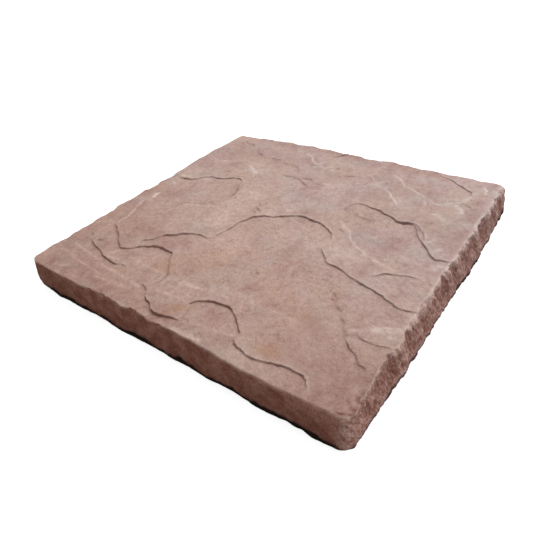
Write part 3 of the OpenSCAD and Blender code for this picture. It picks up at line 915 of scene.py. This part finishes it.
def hollows():
    """Painted shade in the hollows: how deep each place of a struck side lies in a bowl, a chisel's
    mark or another dent.

    Bowls and marks count on the right side only, and all of them less near the front corner.
    """
    in_bowl = blend((broken_out(from_front, up, "right") * x_side - 0.5) / 2)
    deepest = 0.46 * in_bowl * (0.3 + 0.7 * blend((up - 9) / 14))
    deepest = np.maximum(deepest, 0.4 * pecks(from_front, up, "right") * x_side)
    deepest = np.maximum(deepest, np.clip(cavity / 3, 0, 0.5) * struck_side)
    return deepest * (0.4 + 0.6 * blend((from_front - 10) / 50))


def low_shade():
    """Painted shade off the ground: a thick painted contact shadow along the foot, and a thinner
    painted shade up the side that darkens towards the bottom.
    """
    along_foot = 0.95 * blend((7 + 6 * front_side - up) / (3 + 3 * front_side))
    up_side = (0.42 - 0.22 * struck_side) * blend(1 - up / (44 - 16 * struck_side))
    return np.maximum(along_foot, up_side)


def painted_foot_shadow():
    """Painted contact shadow below a winding height, which is more where the foot turns far under.

    The height is less near the front right corner, and more on the front side.
    """
    line = np.stack([loop[:, 0] + loop[:, 1], 0 * loop[:, 0]], axis=-1)
    uneven = 1 + 0.4 * noise(line, 19, 151) + 0.25 * noise(line, 6, 152)
    turned_under = insets[-1] - insets[-8]
    foot_shadow = (0.5 + 0.25 * x_side) * turned_under + (4 + 6 * front_side + 2 * x_side) * uneven
    foot_shadow = foot_shadow - 6.5 * x_side * blend(1 - from_front / 80)
    return (0.8 + 0.2 * front_side) * blend((foot_shadow + 1.5 - up) / 3.5)


def bare_stone_and_highlight():
    """Where pale stone and painted highlight show: on the ridges and in the crumbled edge, less so near
    the front.
    """
    ridges = np.maximum(np.clip(-cavity / 5, 0, 0.3), blend(1 - down / 0.3))
    return ridges * (0.15 + 0.7 * blend((from_front - 20) / 50))


# painted shade in the hollows of the struck sides
hollow = hollows()
# pale stone and painted highlight on the ridges and upper edge of the struck sides
pale = struck_side * (1 - hollow) * bare_stone_and_highlight()
# painted highlight on the right side near the front corner
front_corner_highlight = 0.35 * x_side * blend(1 - from_front / 45) * blend((down - 0.1) / 0.2)
cracked = np.stack([strokes(ring[:, :2], CRACKS) for ring in rings]) * blend(1 - down / 0.4)
# painted shade low on the sides and in the hollows, with the dark of the cracks
on_walls = np.maximum(np.maximum(low_shade(), hollow), cracked)
store("flank", 0 * level, blend(down / (0.065 + 0.015 * x_side)), 1.0)
store("struck", np.maximum(rim_x, 0.3 * rim_y), struck_side)
store("dirt_and_shade", np.maximum(dirt_and_shade, strokes(face, CRACKS)), on_walls)
# pale wear, bloom and painted highlight on the face, and a little of the pale, highlit stone on the sides
store("worn", np.maximum(worn, strokes(face, SCUFFS_AND_HIGHLIGHTS)), 0.2 * pale)
# a painted contact shadow along the foot, where it turns under
store("foot_shadow", 0 * level, painted_foot_shadow(), BED_FOOT_SHADOW)
store("stain", strokes(face, STAINS), 0.0)
# paler skin on the face; pale stone and painted highlight on the sides
store("pale_and_highlit", strokes(face, PALER), pale + front_corner_highlight)
store("pitted", strokes(face, PITTED), 0.3, BED_PITTED)
store("umber", strokes(face, TONES), 0.9 * (1 - struck_side))

# %% [markdown]
# ## Cast stone
# Cast stone is lightweight concrete: cement, fine aggregate and iron oxide pigment, vibrated into a
# rubber mould and released with the sandstone's texture on it. Pigment clouds slightly as it is
# mixed, the cement skin on the face dries paler and greyer than the sides, with brushed streaks and
# hair-thin creases in it, fine grit shows through, and it is matt all over. Clouds, streaks and grit
# are noise in Object coordinates, each at its real size; on the struck sides it leans as they do.

# %% Material
def linear(code):
    """An sRGB hex colour as linear red, green, blue and an alpha of 1."""
    parts = [int(code[i:i + 2], 16) / 255 for i in (1, 3, 5)]
    return [p / 12.92 if p <= 0.04045 else ((p + 0.055) / 1.055) ** 2.4 for p in parts] + [1.0]


def add(tree, kind, settings=None, links=None):
    """Adds a node, sets its properties, and gives each input a value or the output that feeds it."""
    made = tree.nodes.new(kind)
    for name, value in (settings or {}).items():
        setattr(made, name, value)
    for key, value in (links or {}).items():
        socket = made.inputs[key]
        if isinstance(value, bpy.types.NodeSocket):
            tree.links.new(value, socket)
        else:
            socket.default_value = value
    return made


def emptied(owner):
    """The node tree of a material or world, without the nodes that it starts with."""
    owner.use_nodes = True
    owner.node_tree.nodes.clear()
    return owner.node_tree


FACTOR, FIRST, SECOND, MIXED = 0, 6, 7, 2  # sockets of a Mix node that are for colours

cast = bpy.data.materials.new("cast_stone")
tree = emptied(cast)
coords = add(tree, "ShaderNodeTexCoord").outputs["Object"]


def clouds(size_mm, detail, stretch=(1, 1, 1), turn=(0, 0, 0)):
    """Noise with features of a size, in millimetres, drawn out along axes that may be turned."""
    mapped = add(tree, "ShaderNodeMapping", {"vector_type": "TEXTURE"}, {
        "Vector": coords, "Scale": stretch, "Rotation": turn})
    return add(tree, "ShaderNodeTexNoise", None, {
        "Vector": mapped.outputs["Vector"], "Scale": 1 / (size_mm * MM), "Detail": detail,
        "Roughness": 0.55}).outputs["Fac"]


def levels(value, start, end, new_start=0.0, new_end=1.0):
    """Spreads the values from start to end over a new range."""
    return add(tree, "ShaderNodeMapRange", {"interpolation_type": "SMOOTHSTEP"}, {
        "Value": value, "From Min": start, "From Max": end, "To Min": new_start,
        "To Max": new_end}).outputs["Result"]


def times(a, b):
    """Two values multiplied."""
    return add(tree, "ShaderNodeMath", {"operation": "MULTIPLY"}, {0: a, 1: b}).outputs[0]


def folded(value):
    """How far a value is from one half, so that 0 draws a winding line through a noise."""
    less = add(tree, "ShaderNodeMath", {"operation": "SUBTRACT"}, {0: value, 1: 0.5}).outputs[0]
    return add(tree, "ShaderNodeMath", {"operation": "ABSOLUTE"}, {0: less}).outputs[0]


def mixed(share, a, b, how="MIX"):
    """One colour mixed into another."""
    return add(tree, "ShaderNodeMix", {"data_type": "RGBA", "blend_type": how}, {
        FACTOR: share, FIRST: a, SECOND: b}).outputs[MIXED]


def stored(name):
    """A number kept on the vertices."""
    return add(tree, "ShaderNodeAttribute", {"attribute_name": name}).outputs["Fac"]


def bumped(height, depth_mm, strength, under=None):
    """Normals tilted as by a relief of a depth in millimetres, on top of the relief under it."""
    links = {"Height": height, "Distance": depth_mm * MM, "Strength": strength}
    if under:
        links["Normal"] = under
    return add(tree, "ShaderNodeBump", None, links).outputs["Normal"]


FACE_TAN = linear("#B4998D")
FACE_ROSE = linear("#B69B94")
FACE_UMBER = linear("#9A796F")
FACE_GREY = linear("#B0A29B")
FACE_PALE = linear("#CCB3AA")
FLANK_BROWN = linear("#B28374")
FLANK_RED = linear("#986555")
STRUCK_ROSE = linear("#C9A196")
STRUCK_BROWN = linear("#9C6E61")
STRUCK_RED = linear("#8A5A50")
# dark red brown: creases, grit and pits, dirt, and painted shade at the lip feet, in the hollows and low on
# the sides
GRIME_AND_SHADE = linear("#5A2312")
# near black: the painted contact shadow of the foot
FOOT_SHADOW_COLOUR = linear("#22140F")
# pale stone of the struck sides, which also paints their highlight
STRUCK_PALE_AND_LIT = linear("#DEBEB6")
BLOOM_AND_HIGHLIGHT = linear("#D6C4BB")
OCHRE = linear("#AD8057")
WARM = linear("#FFFBF7")
COOL = linear("#F3FAFF")
DARK_GRIT = linear("#A48B82")
LEAN = (math.atan(SLANT), 0, 0)  # as the marks of the chisel lean
ALONG_SCREED = (0, 0, math.radians(-38))  # the way the face was brushed
POCK = 4.4  # spacing of the pits that air bubbles leave

skin = mixed(levels(clouds(70, 3), 0.38, 0.62), FACE_TAN, FACE_ROSE)
skin = mixed(levels(clouds(34, 2), 0.42, 0.72, 0, 0.55), skin, FACE_UMBER)
skin = mixed(stored("umber"), skin, FACE_UMBER)
skin = mixed(levels(clouds(60, 2, (1, 0.7, 1)), 0.5, 0.7, 0, 0.4), skin, FACE_GREY)
skin = mixed(stored("pale_and_highlit"), skin, FACE_PALE)
brushed = clouds(1.7, 3, (5, 1, 1), ALONG_SCREED)
skin = mixed(levels(brushed, 0.5, 0.66, 0, 0.25), skin, FACE_UMBER)
seldom = levels(clouds(15, 2), 0.48, 0.58, 0, 0.32)
crease = times(levels(folded(clouds(30, 4)), 0, 0.013, 1, 0), seldom)
skin = mixed(crease, skin, GRIME_AND_SHADE)
wall = mixed(levels(clouds(17, 4), 0.36, 0.64), FLANK_BROWN, FLANK_RED)
wall = mixed(levels(clouds(1.5, 2, (1, 1, 1.5)), 0.42, 0.6, 0, 0.34), wall, GRIME_AND_SHADE)
strands = levels(clouds(3, 4, (1, 1, 3.2), LEAN), 0.38, 0.62)
struck = mixed(strands, STRUCK_ROSE, STRUCK_BROWN)
struck = mixed(levels(clouds(9, 3, (1, 1, 1.6), LEAN), 0.45, 0.65, 0, 0.5), struck, STRUCK_RED)
flaked = levels(clouds(3.5, 3, (1, 1, 1.4), LEAN), 0.44, 0.58, 0.15, 1.1)
# pale stone and painted highlight on the struck sides
struck = mixed(times(stored("pale_and_highlit"), flaked), struck, STRUCK_PALE_AND_LIT)
raw = mixed(stored("struck"), wall, struck)
body = mixed(stored("flank"), skin, raw)
body = mixed(levels(clouds(6, 4), 0.35, 0.7, 0.0, 0.24), body, DARK_GRIT, "MULTIPLY")
body = mixed(levels(clouds(2.2, 3), 0.5, 0.7, 0, 0.24), body, DARK_GRIT, "MULTIPLY")
specks = times(levels(clouds(2.6, 2), 0.58, 0.72, 0, 0.2), levels(stored("flank"), 0, 1, 1, 0.3))
body = mixed(specks, body, BLOOM_AND_HIGHLIGHT)
# pale wear and bloom, with painted highlight on lip edges, the right arris and the struck sides' ridges
rubbed = levels(clouds(8, 4), 0.35, 0.6, 0.45, 1.0)
body = mixed(times(stored("worn"), rubbed), body, BLOOM_AND_HIGHLIGHT)
body = mixed(stored("stain"), body, OCHRE)
far = add(tree, "ShaderNodeVectorMath", {"operation": "DOT_PRODUCT"}, {0: coords, 1: (0.4, 0.92, 0)})
tint = mixed(levels(far.outputs["Value"], -0.3, 0.3), WARM, COOL)
body = mixed(1.0, body, tint, "MULTIPLY")
# dirt and painted shade from the vertices: lip feet, hollows, lower sides, and the cracks
body = mixed(times(stored("dirt_and_shade"), 0.84), body, GRIME_AND_SHADE)
pocks = add(tree, "ShaderNodeTexVoronoi", {"feature": "F1"}, {
    "Vector": coords, "Scale": 1 / (POCK * MM), "Randomness": 1.0}).outputs["Distance"]
body = mixed(times(stored("pitted"), levels(pocks, 0.09, 0.24, 0.75, 0)), body, GRIME_AND_SHADE)
# painted contact shadow along the foot
body = mixed(stored("foot_shadow"), body, FOOT_SHADOW_COLOUR)

relief = bumped(clouds(5, 3), 0.85, 1.0)
relief = bumped(levels(pocks, 0.06, 0.14, -1, 0), 0.6, 0.7, relief)
relief = bumped(clouds(1.1, 3), 0.6, 1.0, relief)
splintered = times(stored("struck"), stored("flank"))
relief = bumped(clouds(3.8, 3, (1, 1, 2.8), LEAN), 3.6, splintered, relief)

surface = add(tree, "ShaderNodeBsdfPrincipled", None, {
    "Base Color": body, "Roughness": 0.92, "IOR": 1.5, "Specular IOR Level": 0.12,
    "Normal": relief})
add(tree, "ShaderNodeOutputMaterial", None, {"Surface": surface.outputs["BSDF"]})
mesh.materials.append(cast)

# %% [markdown]
# ## Floor, light and camera
# The slab lies on plain white paper between two broad soft boxes. The key stands above and behind
# it, so that the face is evenly bright, each lip that faces the front is dark, and the front side is
# in shade. The other is low on the right and lights the struck side. The paper is white to the
# camera and grey to everything else, so that it throws little light back on the shaded side. A
# dim room all round lights the rest.

# %% Floor
WHITE = (1, 1, 1, 1)
FLOOR_HALF = 4.0  # metres
floor_mesh = bpy.data.meshes.new("floor")
floor_mesh.from_pydata([(x * FLOOR_HALF, y * FLOOR_HALF, low[2] * MM) for x, y in (
    (-1, -1), (1, -1), (1, 1), (-1, 1))], [], [(0, 1, 2, 3)])
floor = shown("floor", floor_mesh)

paper = bpy.data.materials.new("white_paper")
paper_tree = emptied(paper)
seen = add(paper_tree, "ShaderNodeLightPath").outputs["Is Camera Ray"]
lit = add(paper_tree, "ShaderNodeBsdfDiffuse", None, {"Color": linear("#BEBEBE")})
glow = add(paper_tree, "ShaderNodeEmission", None, {"Color": WHITE, "Strength": 0.8})
white = add(paper_tree, "ShaderNodeAddShader", None, {0: lit.outputs[0], 1: glow.outputs[0]})
dull = add(paper_tree, "ShaderNodeBsdfDiffuse", None, {"Color": linear("#808080")})
either = add(paper_tree, "ShaderNodeMixShader", None, {
    0: seen, 1: dull.outputs[0], 2: white.outputs[0]})
add(paper_tree, "ShaderNodeOutputMaterial", None, {"Surface": either.outputs[0]})
floor_mesh.materials.append(paper)

# %% Lights
world = bpy.data.worlds.new("studio")
bpy.context.scene.world = world
world_tree = emptied(world)
seen = add(world_tree, "ShaderNodeLightPath").outputs["Is Camera Ray"]
room = add(world_tree, "ShaderNodeBackground", None, {"Color": WHITE, "Strength": 0.58})
blank = add(world_tree, "ShaderNodeBackground", None, {"Color": WHITE, "Strength": 1.0})
either = add(world_tree, "ShaderNodeMixShader", None, {
    0: seen, 1: room.outputs[0], 2: blank.outputs[0]})
add(world_tree, "ShaderNodeOutputWorld", None, {"Surface": either.outputs[0]})

centre = Vector(((low + high) / 2 * MM).tolist())


def soft_box(name, towards, away, size, power):
    """A square light at a distance from the slab's centre, in a direction, and turned to face it.

    Its distance and its width are in metres, and its power is in watts.
    """
    light = bpy.data.lights.new(name, "AREA")
    light.shape = "SQUARE"
    light.size = size
    light.energy = power
    lamp = shown(name, light)
    direction = Vector(towards).normalized()
    lamp.location = centre + direction * away
    lamp.rotation_euler = direction.to_track_quat("Z", "Y").to_euler()


soft_box("key", (0.0, 0.8, 1.1), 1.35, 0.8, 14.5)
soft_box("right", (1.0, 0.1, 0.45), 1.5, 1.0, 7)

# %% Camera
AZIMUTH, ELEVATION, ROLL = 40.81, 37.63, -7.27  # degrees
LENS, SENSOR = 32.27, 36  # focal length and width of the sensor, in millimetres
AWAY = 1.402 * DEPTH
AIM = Vector((0.0376 * DEPTH + middle[0], -0.0978 * DEPTH + middle[1], low[2])) * MM


def aimed(azimuth, elevation, roll):
    """The turn of a camera that looks along an azimuth and down an elevation, then rolls.

    Returns that turn and the direction from what the camera looks at back to the camera.
    """
    a, e = math.radians(azimuth), math.radians(elevation)
    back = Vector((math.sin(a) * math.cos(e), -math.cos(a) * math.cos(e), math.sin(e)))
    right = Vector((math.cos(a), math.sin(a), 0))
    up = back.cross(right)
    turned = Matrix((right, up, back)).transposed()
    return turned @ Matrix.Rotation(math.radians(roll), 3, "Z"), back


camera_data = bpy.data.cameras.new("camera")
camera_data.sensor_width = SENSOR
camera_data.lens = LENS
camera_data.clip_start = 0.05
camera = shown("camera", camera_data)
turn, back = aimed(AZIMUTH, ELEVATION, ROLL)
camera.matrix_world = Matrix.Translation(AIM + back * AWAY * MM) @ turn.to_4x4()
bpy.context.scene.camera = camera
bpy.context.scene.view_settings.view_transform = "Standard"
